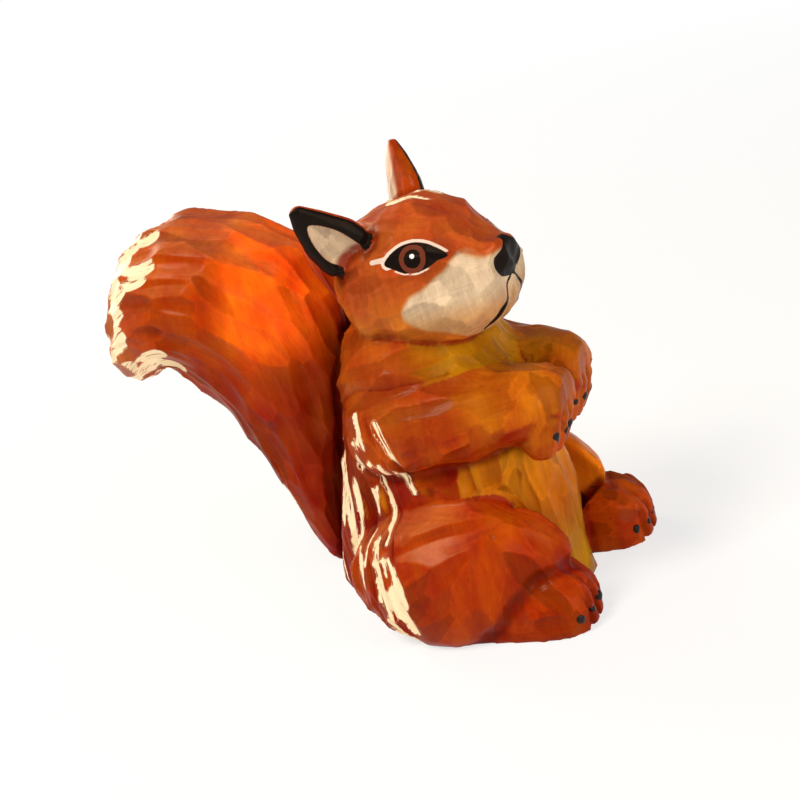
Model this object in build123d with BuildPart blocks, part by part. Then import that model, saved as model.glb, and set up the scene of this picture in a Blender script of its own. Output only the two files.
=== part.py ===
"""A carved wooden squirrel, glued up from blocks and held with dowels.

The squirrel sits upright and faces +X, with +Y to its left and +Z up.
The origin is on the sawn base, under the middle of the body. Millimetres.
"""
from build123d import *
from collections import namedtuple
from math import cos, pi, radians, sin, tan
import os

# Knife flats round each block
BODY_FLATS = 18
LIMB_FLATS = 14
EAR_FLATS = 12
TAIL_FLUTES = 14
FLUTE_DEPTH = 0.9

# How square a block's section is: 2 is an oval, more fills its corners
HEAD_SQUARENESS = 2.4
FORELEG_SQUARENESS = 2.5
FOOT_SQUARENESS = 2.4
HAUNCH_SQUARENESS = 2.0

# Torso, level by level: depth runs front to back, middle is where a level's centre lies along X
BASE_DEPTH = 52.0
BASE_WIDTH = 39.0
BASE_MIDDLE = -1.0
RUMP_HEIGHT = 9.0
RUMP_DEPTH = 57.0
RUMP_WIDTH = 42.0
RUMP_MIDDLE = -4.0
BELLY_HEIGHT = 22.0
BELLY_DEPTH = 57.0
BELLY_WIDTH = 43.0
BELLY_MIDDLE = -3.0
WAIST_HEIGHT = 36.0
WAIST_DEPTH = 49.0
WAIST_WIDTH = 40.0
WAIST_MIDDLE = -1.0
CHEST_HEIGHT = 49.0
CHEST_DEPTH = 42.0
CHEST_WIDTH = 40.0
CHEST_MIDDLE = 0.0
COLLAR_RISE = 10.0
COLLAR_DEPTH = 37.0
COLLAR_WIDTH = 40.0
COLLAR_MIDDLE = -1.0
NECK_RISE = 8.0
NECK_DEPTH = 27.0
NECK_WIDTH = 30.0
NECK_MIDDLE = -1.0

# Head, turned a little to its right on the neck, with its rings from the back of the skull to the snout
HEAD_TURN = 12.0
HeadRing = namedtuple("HeadRing", "ahead rise width height taper")
HEAD_RINGS = (
    HeadRing(-10.5, 9.5, 13.0, 11.0, 0.0),
    HeadRing(-7.5, 9.0, 24.0, 20.5, 0.05),
    HeadRing(-1.0, 8.7, 34.5, 28.0, 0.10),
    HeadRing(9.0, 9.6, 34.0, 30.8, 0.14),
    HeadRing(16.0, 8.4, 28.5, 28.6, 0.16),
    HeadRing(20.5, 6.8, 23.8, 23.4, 0.12),
    HeadRing(24.6, 6.2, 19.5, 17.0, 0.08),
    HeadRing(28.0, 7.0, 13.0, 11.0, 0.0),
)

# Nose pad on the snout's end, wide at the top
NOSE_WIDTH = 9.2
NOSE_HEIGHT = 8.6
NOSE_DEPTH = 5.0
NOSE_PROUD = 1.4
NOSE_ROUND = 1.5
NOSE_RISE = 3.7
NOSE_FLARE = -0.35

# Ears, leaf-shaped, let into the skull and hollowed on the side that faces out
EAR_ROOT_AHEAD = 0.4
EAR_ROOT_INSET = 6.5
EAR_ROOT_RISE = 14.5
EAR_LEAN_BACK = 0.28
EAR_LEAN_OUT = 0.50
EAR_TURN = 0.5
EAR_TILT = 0.35
EarRing = namedtuple("EarRing", "along shift width thickness")
EAR_RINGS = (
    EarRing(-4.0, 0.0, 9.0, 5.0),
    EarRing(3.0, 0.0, 14.0, 6.5),
    EarRing(9.5, -0.5, 12.5, 5.5),
    EarRing(15.5, -1.2, 7.5, 4.0),
    EarRing(19.6, -1.6, 2.6, 1.8),
)
EAR_HOLLOW_RINGS = (
    EarRing(1.5, 0.0, 5.0, 2.0),
    EarRing(5.0, 0.0, 8.6, 4.6),
    EarRing(10.0, -0.5, 7.4, 4.0),
    EarRing(15.0, -1.2, 2.6, 1.6),
)
EAR_FACE = 2.8

# Tail ribs, each from its back edge to its front edge, measured from the tail's root on the rump
TailRib = namedtuple("TailRib", "back_x back_z front_x front_z width")
TAIL_RIBS = (
    TailRib(-3.5, 0.0, 1.0, 2.0, 8.0),
    TailRib(-6.5, 6.0, 2.5, 8.5, 15.0),
    TailRib(-8.8, 15.5, 5.5, 18.0, 20.0),
    TailRib(-13.5, 32.0, 10.5, 33.0, 26.0),
    TailRib(-17.5, 42.5, 15.0, 47.5, 31.0),
    TailRib(-22.0, 48.5, 16.0, 62.5, 35.0),
    TailRib(-26.0, 52.0, 11.0, 75.5, 38.0),
    TailRib(-28.5, 53.5, -1.0, 83.5, 39.0),
    TailRib(-31.0, 52.5, -16.0, 86.8, 38.0),
    TailRib(-33.8, 50.8, -28.5, 83.5, 34.0),
    TailRib(-36.2, 49.5, -36.0, 73.5, 26.0),
    TailRib(-38.6, 54.0, -38.8, 65.0, 13.0),
)
TAIL_INSET = 2.5

# Haunches, domed blocks on a flat housing in the torso's side, ahead of the belly's middle
HAUNCH_HOUSING = 6.0
HaunchRing = namedtuple("HaunchRing", "out ahead height_of_middle depth height")
HAUNCH_RINGS = (
    HaunchRing(0.0, 6.0, 14.0, 51.0, 34.0),
    HaunchRing(6.0, 5.0, 14.0, 48.5, 33.5),
    HaunchRing(11.0, 4.3, 14.0, 36.0, 29.6),
    HaunchRing(14.0, 3.2, 13.0, 23.0, 22.0),
    HaunchRing(15.5, 2.8, 12.5, 11.0, 10.0),
)

# Feet, flat underneath, ahead of the belly's middle: each is cut on a slope at the ankle, where the thigh
# comes down over it, and notched between its toes
FOOT_OUTSET = 3.0
FOOT_MIDDLE_HEIGHT = 4.0
FOOT_AHEAD = 5.0
LEFT_FOOT_AHEAD = 3.6
ANKLE_START = 3.6
ANKLE_ANGLE = 41.5
FootRing = namedtuple("FootRing", "ahead width top")
FOOT_RINGS = (
    FootRing(3.0, 17.0, 14.0),
    FootRing(12.0, 18.5, 15.5),
    FootRing(18.5, 19.5, 15.2),
    FootRing(24.0, 18.5, 13.6),
    FootRing(27.3, 14.5, 10.6),
    FootRing(29.0, 9.0, 7.2),
)
TOE_SPACING = 4.2
TOE_CUT_DEPTH = 2.4

# Forelegs from elbow to wrist, and the paws that hang from them, measured from the middle of the chest
ForelegRing = namedtuple("ForelegRing", "ahead out rise width height")
FORELEG_RINGS = (
    ForelegRing(-15.0, 14.0, -3.0, 8.0, 12.0),
    ForelegRing(-9.0, 16.5, -2.5, 13.0, 19.5),
    ForelegRing(2.0, 17.0, -2.2, 15.0, 20.0),
    ForelegRing(13.0, 14.0, -2.4, 17.5, 17.8),
    ForelegRing(21.0, 10.6, -2.4, 18.0, 16.2),
    ForelegRing(27.5, 8.3, -2.2, 16.6, 14.6),
    ForelegRing(31.8, 7.4, -2.0, 12.5, 9.6),
)
PawRing = namedtuple("PawRing", "ahead out rise depth width")
PAW_RINGS = (
    PawRing(25.0, 8.3, -1.0, 13.0, 16.6),
    PawRing(25.4, 8.3, -5.5, 13.0, 16.6),
    PawRing(25.2, 8.2, -10.0, 11.0, 16.2),
    PawRing(25.4, 8.0, -13.6, 6.5, 14.5),
)
FINGER_SPACING = 3.8
FINGER_CUT_DEPTH = 1.6

# Knife cuts between toes and fingers
CUT_WIDTH = 1.6
CUT_SLOPE = 35.0
CUT_REACH = 3.0

# Dowels and their holes
DOWEL_CLEARANCE = 0.1
NECK_DOWEL_DIAMETER = 6.0
NECK_DOWEL_LENGTH = 20.0
TAIL_DOWEL_DIAMETER = 5.0
TAIL_DOWEL_LENGTH = 14.0
TAIL_DOWEL_FIRST = 12.0
TAIL_DOWEL_SPACING = 22.0
HAUNCH_DOWEL_DIAMETER = 4.0
HAUNCH_DOWEL_LENGTH = 10.0
HAUNCH_DOWEL_SPACING = 14.0
HAUNCH_DOWEL_BACK = 4.0
FORELEG_DOWEL_DIAMETER = 4.0
FORELEG_DOWEL_LENGTH = 12.0
FOOT_DOWEL_DIAMETER = 3.0
FOOT_DOWEL_LENGTH = 10.0
FOOT_DOWEL_HEIGHT = 8.0


# Outlines and the planes that carry them

def oval(plane, width, height, sides, taper=0.0, squareness=2.0):
    """The corners of an oval cut to knife flats, its upper half drawn in by the taper."""
    corners = []
    for index in range(sides):
        angle = 2 * pi * (index + 0.5) / sides
        swell = (abs(cos(angle)) ** squareness + abs(sin(angle)) ** squareness) ** (-1 / squareness)
        pull = 1 - taper * sin(angle)
        across = width / 2 * swell * pull * cos(angle)
        up = height / 2 * swell * sin(angle)
        corners.append(plane.from_local_coords((across, up, 0)))
    return corners


def fluted(plane, width, height):
    """The corners of an oval scalloped by gouge flutes, ridge and valley in turn."""
    corners = []
    for index in range(2 * TAIL_FLUTES):
        angle = pi * index / TAIL_FLUTES
        inset = FLUTE_DEPTH if index % 2 else 0.0
        across = (width / 2 - inset) * cos(angle)
        up = (height / 2 - inset) * sin(angle)
        corners.append(plane.from_local_coords((across, up, 0)))
    return corners


def flat(*corners):
    """One flat facet between its corners."""
    return Face(Wire.make_polygon(corners))


def whittled(rings):
    """A block with flat knife facets from ring to ring and a flat cut at each end."""
    flats = [flat(*rings[0]), flat(*rings[-1])]
    for ring, following in zip(rings, rings[1:]):
        for index, corner in enumerate(ring):
            after = (index + 1) % len(ring)
            flats.append(flat(corner, ring[after], following[after]))
            flats.append(flat(corner, following[after], following[index]))
    return Solid(Shell(flats))


def level(x, y, z):
    """A level plane, its outline measured along X and Y."""
    return Plane(origin=(x, y, z))


def across(x, y, z):
    """An upright plane across X, its outline measured along Y and Z."""
    return Plane(origin=(x, y, z), x_dir=(0, 1, 0), z_dir=(1, 0, 0))


def alongside(x, y, z):
    """An upright plane across Y, its outline measured along X and Z."""
    return Plane(origin=(x, y, z), x_dir=(1, 0, 0), z_dir=(0, -1, 0))


# Dowels

def dowels(planes, diameter, length, mode=Mode.ADD):
    """Round pegs standing half on each side of their planes."""
    with Locations(*(plane.location for plane in planes)):
        Cylinder(diameter / 2, length, mode=mode)


def dowel_holes(planes, diameter, length):
    """The holes that the pegs of the same planes sit in."""
    dowels(planes, diameter + 2 * DOWEL_CLEARANCE, length + 2 * DOWEL_CLEARANCE, mode=Mode.SUBTRACT)


def knife_cut(y, outline):
    """A V cut at one place across the piece, deepest along the middle of the blade's outline."""
    with BuildSketch(alongside(0, y, 0)) as blade:
        with BuildLine():
            Polyline(*outline, close=True)
        make_face()
    extrude(blade.sketch, CUT_WIDTH / 2, both=True, taper=CUT_SLOPE, mode=Mode.SUBTRACT)


# Where the blocks meet
collar_height = CHEST_HEIGHT + COLLAR_RISE
neck_height = collar_height + NECK_RISE
hip = BELLY_WIDTH / 2 - HAUNCH_HOUSING
haunch_middle = BELLY_MIDDLE + HAUNCH_RINGS[0].ahead
foot_out = hip + FOOT_OUTSET
right_foot_start = BELLY_MIDDLE + FOOT_AHEAD
left_foot_start = right_foot_start + LEFT_FOOT_AHEAD
ankle_seat = ANKLE_START + FOOT_DOWEL_HEIGHT / tan(radians(ANKLE_ANGLE))
shoulder = FORELEG_RINGS[2]
rump_back = RUMP_MIDDLE - RUMP_DEPTH / 2 + TAIL_INSET
chest_back = CHEST_MIDDLE - CHEST_DEPTH / 2 + TAIL_INSET
tail_seat = Plane(
    origin=(rump_back, 0, RUMP_HEIGHT),
    x_dir=(0, 1, 0),
    z_dir=(CHEST_HEIGHT - RUMP_HEIGHT, 0, rump_back - chest_back),
)

neck_dowel_planes = [level(NECK_MIDDLE, 0, neck_height)]
tail_dowel_planes = [
    Plane(tail_seat.location * Location((0, TAIL_DOWEL_FIRST + step * TAIL_DOWEL_SPACING, 0)))
    for step in (0, 1)
]
haunch_dowel_planes = [
    alongside(
        haunch_middle - HAUNCH_DOWEL_BACK + step * HAUNCH_DOWEL_SPACING / 2,
        side * hip,
        HAUNCH_RINGS[0].height_of_middle,
    )
    for side in (-1, 1)
    for step in (-1, 1)
]
foreleg_dowel_planes = [
    alongside(
        CHEST_MIDDLE + shoulder.ahead,
        side * (shoulder.out - shoulder.width / 2),
        CHEST_HEIGHT + shoulder.rise,
    )
    for side in (-1, 1)
]
foot_dowel_planes = [
    across(right_foot_start + ankle_seat, -foot_out, FOOT_DOWEL_HEIGHT),
    across(left_foot_start + ankle_seat, foot_out, FOOT_DOWEL_HEIGHT),
]


# Feet

def toe_outline(start):
    """The blade's outline for a cut over the toes, from the ball of the foot down to the ground."""
    ball, toe, tip = FOOT_RINGS[-3:]
    return [
        (start + ball.ahead, ball.top),
        (start + toe.ahead, toe.top - TOE_CUT_DEPTH),
        (start + tip.ahead - TOE_CUT_DEPTH, tip.top - TOE_CUT_DEPTH),
        (start + tip.ahead - TOE_CUT_DEPTH, -CUT_REACH),
        (start + tip.ahead + CUT_REACH, -CUT_REACH),
        (start + tip.ahead + CUT_REACH, ball.top + CUT_REACH),
        (start + ball.ahead, ball.top + CUT_REACH),
    ]


def carve_foot(side, start):
    """One foot, running forward from its slanting cut at the ankle."""
    add(whittled([
        oval(
            across(start + ring.ahead, side * foot_out, FOOT_MIDDLE_HEIGHT),
            ring.width,
            2 * (ring.top - FOOT_MIDDLE_HEIGHT),
            LIMB_FLATS,
            squareness=FOOT_SQUARENESS,
        )
        for ring in FOOT_RINGS
    ]))
    split(bisect_by=Plane.XY, keep=Keep.TOP)
    slope = (sin(radians(ANKLE_ANGLE)), 0, -cos(radians(ANKLE_ANGLE)))
    split(bisect_by=Plane(origin=(start + ANKLE_START, 0, 0), z_dir=slope), keep=Keep.TOP)
    for step in (-1, 0, 1):
        knife_cut(side * foot_out + step * TOE_SPACING, toe_outline(start))
    dowel_holes(foot_dowel_planes, FOOT_DOWEL_DIAMETER, FOOT_DOWEL_LENGTH)


with BuildPart() as right_foot:
    carve_foot(-1, right_foot_start)

with BuildPart() as left_foot:
    carve_foot(1, left_foot_start)


# Haunches, each seated over its foot

def carve_haunch(side, foot):
    """One haunch, domed outwards from its housing in the torso's side."""
    add(whittled([
        oval(
            alongside(BELLY_MIDDLE + ring.ahead, side * (hip + ring.out), ring.height_of_middle),
            ring.depth,
            ring.height,
            LIMB_FLATS,
            squareness=HAUNCH_SQUARENESS,
        )
        for ring in HAUNCH_RINGS
    ]))
    split(bisect_by=Plane.XY, keep=Keep.TOP)
    add(foot.part, mode=Mode.SUBTRACT)
    dowel_holes(haunch_dowel_planes, HAUNCH_DOWEL_DIAMETER, HAUNCH_DOWEL_LENGTH)
    dowel_holes(foot_dowel_planes, FOOT_DOWEL_DIAMETER, FOOT_DOWEL_LENGTH)


with BuildPart() as right_haunch:
    carve_haunch(-1, right_foot)

with BuildPart() as left_haunch:
    carve_haunch(1, left_foot)


# Forelegs

def finger_outline():
    """The blade's outline for a cut down the front of a paw, open below the finger tips."""
    palm, knuckle, tip = PAW_RINGS[-3:]
    fronts = [CHEST_MIDDLE + ring.ahead + ring.depth / 2 for ring in (palm, knuckle, tip)]
    heights = [CHEST_HEIGHT + ring.rise for ring in (palm, knuckle, tip)]
    return [
        (fronts[0], heights[0] + CUT_REACH),
        (fronts[0] - FINGER_CUT_DEPTH, heights[0]),
        (fronts[1] - FINGER_CUT_DEPTH, heights[1]),
        (fronts[2] - FINGER_CUT_DEPTH, heights[2]),
        (fronts[2] - FINGER_CUT_DEPTH, heights[2] - CUT_REACH),
        (fronts[0] + CUT_REACH, heights[2] - CUT_REACH),
        (fronts[0] + CUT_REACH, heights[0] + CUT_REACH),
    ]


with BuildPart() as right_foreleg:
    add(whittled([
        oval(
            across(CHEST_MIDDLE + ring.ahead, -ring.out, CHEST_HEIGHT + ring.rise),
            ring.width,
            ring.height,
            LIMB_FLATS,
            squareness=FORELEG_SQUARENESS,
        )
        for ring in FORELEG_RINGS
    ]))
    add(whittled([
        oval(
            level(CHEST_MIDDLE + ring.ahead, -ring.out, CHEST_HEIGHT + ring.rise),
            ring.depth,
            ring.width,
            LIMB_FLATS,
            squareness=FORELEG_SQUARENESS,
        )
        for ring in PAW_RINGS
    ]))
    split(bisect_by=Plane.XZ, keep=Keep.TOP)
    for step in (-1, 0, 1):
        knife_cut(-PAW_RINGS[0].out + step * FINGER_SPACING, finger_outline())
    dowel_holes(foreleg_dowel_planes, FORELEG_DOWEL_DIAMETER, FORELEG_DOWEL_LENGTH)

with BuildPart() as left_foreleg:
    mirror(right_foreleg.part, about=Plane.XZ)


# Torso

with BuildPart() as torso:
    add(whittled([
        oval(level(BASE_MIDDLE, 0, 0), BASE_DEPTH, BASE_WIDTH, BODY_FLATS),
        oval(level(RUMP_MIDDLE, 0, RUMP_HEIGHT), RUMP_DEPTH, RUMP_WIDTH, BODY_FLATS),
        oval(level(BELLY_MIDDLE, 0, BELLY_HEIGHT), BELLY_DEPTH, BELLY_WIDTH, BODY_FLATS),
        oval(level(WAIST_MIDDLE, 0, WAIST_HEIGHT), WAIST_DEPTH, WAIST_WIDTH, BODY_FLATS),
        oval(level(CHEST_MIDDLE, 0, CHEST_HEIGHT), CHEST_DEPTH, CHEST_WIDTH, BODY_FLATS),
        oval(level(COLLAR_MIDDLE, 0, collar_height), COLLAR_DEPTH, COLLAR_WIDTH, BODY_FLATS),
        oval(level(NECK_MIDDLE, 0, neck_height), NECK_DEPTH, NECK_WIDTH, BODY_FLATS),
    ]))
    split(bisect_by=tail_seat, keep=Keep.TOP)
    for limb in (right_haunch, left_haunch, right_foot, left_foot, right_foreleg, left_foreleg):
        add(limb.part, mode=Mode.SUBTRACT)
    dowel_holes(haunch_dowel_planes, HAUNCH_DOWEL_DIAMETER, HAUNCH_DOWEL_LENGTH)
    dowel_holes(foot_dowel_planes, FOOT_DOWEL_DIAMETER, FOOT_DOWEL_LENGTH)
    dowel_holes(foreleg_dowel_planes, FORELEG_DOWEL_DIAMETER, FORELEG_DOWEL_LENGTH)
    dowel_holes(tail_dowel_planes, TAIL_DOWEL_DIAMETER, TAIL_DOWEL_LENGTH)
    dowel_holes(neck_dowel_planes, NECK_DOWEL_DIAMETER, NECK_DOWEL_LENGTH)


# Tail

def tail_ring(rib):
    """The fluted ring of one rib, square to the tail's run."""
    run = rib.front_x - rib.back_x
    rise = rib.front_z - rib.back_z
    middle_x = rump_back + (rib.back_x + rib.front_x) / 2
    middle_z = RUMP_HEIGHT + (rib.back_z + rib.front_z) / 2
    plane = Plane(origin=(middle_x, 0, middle_z), x_dir=(0, 1, 0), z_dir=(rise, 0, -run))
    return fluted(plane, rib.width, Vector(run, 0, rise).length)


with BuildPart() as tail:
    add(whittled([tail_ring(rib) for rib in TAIL_RIBS]))
    split(bisect_by=tail_seat, keep=Keep.BOTTOM)
    dowel_holes(tail_dowel_planes, TAIL_DOWEL_DIAMETER, TAIL_DOWEL_LENGTH)


# Ears, placed from the head's own frame on top of the neck

head_frame = Plane(origin=(NECK_MIDDLE, 0, neck_height)).rotated((0, 0, -HEAD_TURN))
head_middle = Plane(origin=head_frame.origin, x_dir=head_frame.x_dir, z_dir=head_frame.y_dir)
ear_axis = Vector(-EAR_LEAN_BACK, -EAR_LEAN_OUT, 1).normalized()
ear_root = Vector(EAR_ROOT_AHEAD, EAR_ROOT_INSET - HEAD_RINGS[2].width / 2, EAR_ROOT_RISE)


def ear_plane(ring, inset=0.0):
    """The plane across the right ear at one ring, moved along its width and out of its hollow face."""
    frame = Plane(origin=ear_root + ear_axis * ring.along, x_dir=(1, EAR_TURN, EAR_TILT), z_dir=ear_axis)
    return Plane(head_frame.location * frame.location * Location((ring.shift, -inset, 0)))


with BuildPart() as right_ear:
    add(whittled([oval(ear_plane(ring), ring.width, ring.thickness, EAR_FLATS) for ring in EAR_RINGS]))
    hollow = [
        oval(ear_plane(ring, EAR_FACE), ring.width, ring.thickness, EAR_FLATS)
        for ring in EAR_HOLLOW_RINGS
    ]
    add(whittled(hollow), mode=Mode.SUBTRACT)

with BuildPart() as left_ear:
    mirror(right_ear.part, about=head_middle)


# Head

def head_plane(ahead, rise):
    """The upright plane across the head at one place along it."""
    return Plane(head_frame.location * across(ahead, 0, rise).location)


snout = HEAD_RINGS[-1]
nose_rise = snout.rise + NOSE_RISE
nose_tip = snout.ahead + NOSE_PROUD

with BuildPart() as head:
    add(whittled([
        oval(
            head_plane(ring.ahead, ring.rise),
            ring.width,
            ring.height,
            BODY_FLATS,
            ring.taper,
            HEAD_SQUARENESS,
        )
        for ring in HEAD_RINGS
    ]))
    add(whittled([
        oval(head_plane(nose_tip - NOSE_DEPTH, nose_rise), NOSE_WIDTH, NOSE_HEIGHT, EAR_FLATS, NOSE_FLARE),
        oval(head_plane(nose_tip - NOSE_ROUND, nose_rise), NOSE_WIDTH, NOSE_HEIGHT, EAR_FLATS, NOSE_FLARE),
        oval(
            head_plane(nose_tip, nose_rise),
            NOSE_WIDTH - 2 * NOSE_ROUND,
            NOSE_HEIGHT - 2 * NOSE_ROUND,
            EAR_FLATS,
            NOSE_FLARE,
        ),
    ]))
    for other in (torso, right_ear, left_ear):
        add(other.part, mode=Mode.SUBTRACT)
    dowel_holes(neck_dowel_planes, NECK_DOWEL_DIAMETER, NECK_DOWEL_LENGTH)


# The dowels themselves

with BuildPart() as neck_dowel:
    dowels(neck_dowel_planes, NECK_DOWEL_DIAMETER, NECK_DOWEL_LENGTH)

with BuildPart() as tail_dowels:
    dowels(tail_dowel_planes, TAIL_DOWEL_DIAMETER, TAIL_DOWEL_LENGTH)

with BuildPart() as foreleg_dowels:
    dowels(foreleg_dowel_planes, FORELEG_DOWEL_DIAMETER, FORELEG_DOWEL_LENGTH)

with BuildPart() as haunch_dowels:
    dowels(haunch_dowel_planes, HAUNCH_DOWEL_DIAMETER, HAUNCH_DOWEL_LENGTH)

with BuildPart() as foot_dowels:
    dowels(foot_dowel_planes, FOOT_DOWEL_DIAMETER, FOOT_DOWEL_LENGTH)


# One file for each piece

pieces = {
    "torso": torso,
    "head": head,
    "tail": tail,
    "right_ear": right_ear,
    "left_ear": left_ear,
    "right_foreleg": right_foreleg,
    "left_foreleg": left_foreleg,
    "right_haunch": right_haunch,
    "left_haunch": left_haunch,
    "right_foot": right_foot,
    "left_foot": left_foot,
    "neck_dowel": neck_dowel,
    "tail_dowels": tail_dowels,
    "foreleg_dowels": foreleg_dowels,
    "haunch_dowels": haunch_dowels,
    "foot_dowels": foot_dowels,
}
os.makedirs("parts", exist_ok=True)
for name, piece in pieces.items():
    piece.part.label = name
    export_step(piece.part, f"parts/{name}.step")
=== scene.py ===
from collections import namedtuple
import math

import bmesh
import bpy
import numpy as np
from mathutils import Matrix, Vector
from mathutils.bvhtree import BVHTree
from mathutils.kdtree import KDTree

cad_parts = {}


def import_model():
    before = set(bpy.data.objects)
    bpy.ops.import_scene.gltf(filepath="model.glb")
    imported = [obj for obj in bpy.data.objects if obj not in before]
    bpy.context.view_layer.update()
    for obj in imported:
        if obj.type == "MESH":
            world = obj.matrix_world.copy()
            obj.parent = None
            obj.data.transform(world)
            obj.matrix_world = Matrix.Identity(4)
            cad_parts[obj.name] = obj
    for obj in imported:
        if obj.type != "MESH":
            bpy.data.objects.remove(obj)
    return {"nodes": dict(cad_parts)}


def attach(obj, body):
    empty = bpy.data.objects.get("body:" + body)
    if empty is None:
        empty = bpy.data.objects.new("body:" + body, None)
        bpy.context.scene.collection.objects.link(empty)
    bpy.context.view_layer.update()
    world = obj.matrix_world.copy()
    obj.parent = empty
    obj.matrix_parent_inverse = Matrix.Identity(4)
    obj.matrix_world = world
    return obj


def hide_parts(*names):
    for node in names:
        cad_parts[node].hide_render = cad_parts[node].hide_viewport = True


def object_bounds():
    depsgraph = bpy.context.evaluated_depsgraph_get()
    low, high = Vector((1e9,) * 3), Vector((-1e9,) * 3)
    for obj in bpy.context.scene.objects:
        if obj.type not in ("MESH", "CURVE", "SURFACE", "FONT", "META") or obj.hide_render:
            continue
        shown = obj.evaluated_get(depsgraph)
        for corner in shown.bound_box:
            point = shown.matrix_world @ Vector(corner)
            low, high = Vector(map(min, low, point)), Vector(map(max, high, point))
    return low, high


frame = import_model()
cad_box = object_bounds()

# Sizes here are millimetres in the part's own frame: +X ahead, +Y to the squirrel's left, +Z up
MM = 0.001
CARVING_SEED = 11

WOOD = (
    "torso", "head", "tail", "right_ear", "left_ear", "right_foreleg", "left_foreleg",
    "right_haunch", "left_haunch", "right_foot", "left_foot",
)
BLOCK = {node: number for number, node in enumerate(WOOD)}
DOWELS = ("neck_dowel", "tail_dowels", "foreleg_dowels", "haunch_dowels", "foot_dowels")

# The skin that the knife works on
SKIN_GRID = 0.40
SEAM_REACH = 3.0
SKIRT = 2.5

# How far each block is rounded over before the strokes go in, in rounds of easing
ROUNDING = {
    "torso": 110, "head": 26, "tail": 60, "right_ear": 6, "left_ear": 6,
    "right_foreleg": 60, "left_foreleg": 60, "right_haunch": 90, "left_haunch": 90,
    "right_foot": 20, "left_foot": 20,
}
PAW_START = 18.0
PAW_ROUNDING = 5
SHOULDER_ROUNDING = 500
SHOULDER_SMOOTHNESS = 0.97
BASE_EDGE = 3.0
FULLNESS_ROUNDS = 160.0
EASING_BATCH = 20

# Rounds of easing for what is measured on the skin
SEAM_EASING = 6.0
FACING_EASING = 10.0
ROUNDING_EASING = 20.0
CAVITY_EASING = 8.0
PAINTED_HIGHLIGHT_EASING = 3.0

# Knife and gouge strokes: their length along the grain of the form, their width, depth and tilt
Stroke = namedtuple("Stroke", "length width depth tilt")
STROKES = {
    "torso": Stroke(20.0, 5.0, 0.60, 0.13),
    "head": Stroke(8.0, 5.5, 0.50, 0.12),
    "tail": Stroke(16.0, 5.0, 0.92, 0.15),
    "right_ear": Stroke(9.0, 4.0, 0.10, 0.02),
    "left_ear": Stroke(9.0, 4.0, 0.10, 0.02),
    "right_foreleg": Stroke(16.0, 5.2, 0.72, 0.16),
    "left_foreleg": Stroke(16.0, 5.2, 0.72, 0.16),
    "right_haunch": Stroke(22.0, 6.4, 1.15, 0.20),
    "left_haunch": Stroke(22.0, 6.4, 1.15, 0.20),
    "right_foot": Stroke(11.0, 4.6, 0.38, 0.10),
    "left_foot": Stroke(11.0, 4.6, 0.38, 0.10),
}
PAW_STROKE_SHARE = 0.4
STROKE_SPACING = 0.58
STROKE_TRIALS = 5000
STROKE_SPREAD = 1.25

# Strokes lie about the skin of the solids: this share of their mean depth goes back on
LEVEL_SHARE = 0.75
LEVEL_ROUNDS = 60.0

# Later cuts at the edges, whose pale share is painted highlight: the kind of block, the box they lie in,
# and the share painted pale
EdgeCut = namedtuple("EdgeCut", "kind low high stroke upright pale")
EDGE_CUTS = (
    EdgeCut("tail", (-80, -40, 44), (-52, 40, 110), Stroke(9.5, 4.8, 1.0, 0.08), False, 0.72),
    EdgeCut("haunch", (-40, -40, 0), (-7, 40, 60), Stroke(18.0, 3.0, 0.5, 0.06), True, 0.5),
    EdgeCut("torso", (-40, -40, 0), (-14, 40, 44), Stroke(18.0, 3.2, 0.5, 0.06), True, 0.4),
    EdgeCut("foreleg", (-40, -40, 34), (-2, 40, 46), Stroke(13.0, 2.3, 0.3, 0.05), True, 0.5),
    EdgeCut("head", (-8, -3, 88), (8, 14, 110), Stroke(11.0, 2.4, 0.25, 0.04), False, 0.6),
)

# Seams between two kinds of block: how deep the knife marks them, and how dark they are made, partly stain
# in the glue line and partly painted shade in the recess
SEAM_DEPTH = 0.7
SEAM_CORE = 0.3
SEAM_WIDTH = 2.2
SEAM_SHARES = {
    ("tail", "torso"): 1.0, ("head", "tail"): 0.4, ("haunch", "tail"): 0.8, ("haunch", "torso"): 0.35,
    ("foot", "haunch"): 0.75, ("foot", "torso"): 0.8, ("foreleg", "torso"): 0.9, ("head", "torso"): 0.45,
    ("ear", "head"): 0.8, ("foreleg", "foreleg"): 0.6,
}

# Where the forms turn: the tail's middle line, the knee that haunch strokes fan from, the head's frame
TAIL_RUN = (
    (-31.0, 10.0), (-31.7, 26.0), (-31.5, 41.5), (-34.0, 64.0),
    (-44.0, 77.0), (-54.0, 78.5), (-63.0, 75.0), (-68.7, 68.0),
)
UPRIGHT = (0.2, 0.0, -1.0)
KNEE = np.array((14.0, 0.0, 27.0))
HEAD_TURN = math.radians(12.0)
HEAD_PIVOT = np.array((-1.0, 0.0, 67.0))

# Stain and paint colours, some of them standing in for painted light and shade
ORANGE = (0.34, 0.038, 0.0015)
RED_BROWN = (0.22, 0.011, 0.0005)
PAINTED_BOUNCE_GLOW = (0.92, 0.120, 0.004)
ROSY = (0.42, 0.095, 0.024)
UMBER = (0.32, 0.048, 0.004)
BACK = (0.25, 0.028, 0.003)
OLIVE = (0.38, 0.142, 0.002)
YELLOW = (0.50, 0.155, 0.002)
AMBER = (0.41, 0.092, 0.003)
PAINTED_LIGHT_ORANGE = (0.62, 0.140, 0.004)
GOLD = (0.44, 0.115, 0.012)
SEAM_STAIN_AND_SHADE = (0.085, 0.005, 0.001)
CREAM = (0.53, 0.39, 0.26)
BUFF = (0.43, 0.22, 0.09)

# Camera
CAMERA_AZIMUTH = math.radians(25.0)
CAMERA_ELEVATION = math.radians(21.0)
CAMERA_ROLL = math.radians(16.5)
CAMERA_DISTANCE = 450.0
CAMERA_TARGET = (-9.74, 3.06, 45.0)
CAMERA_LENS = 93.15
SENSOR = 36.0


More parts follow.
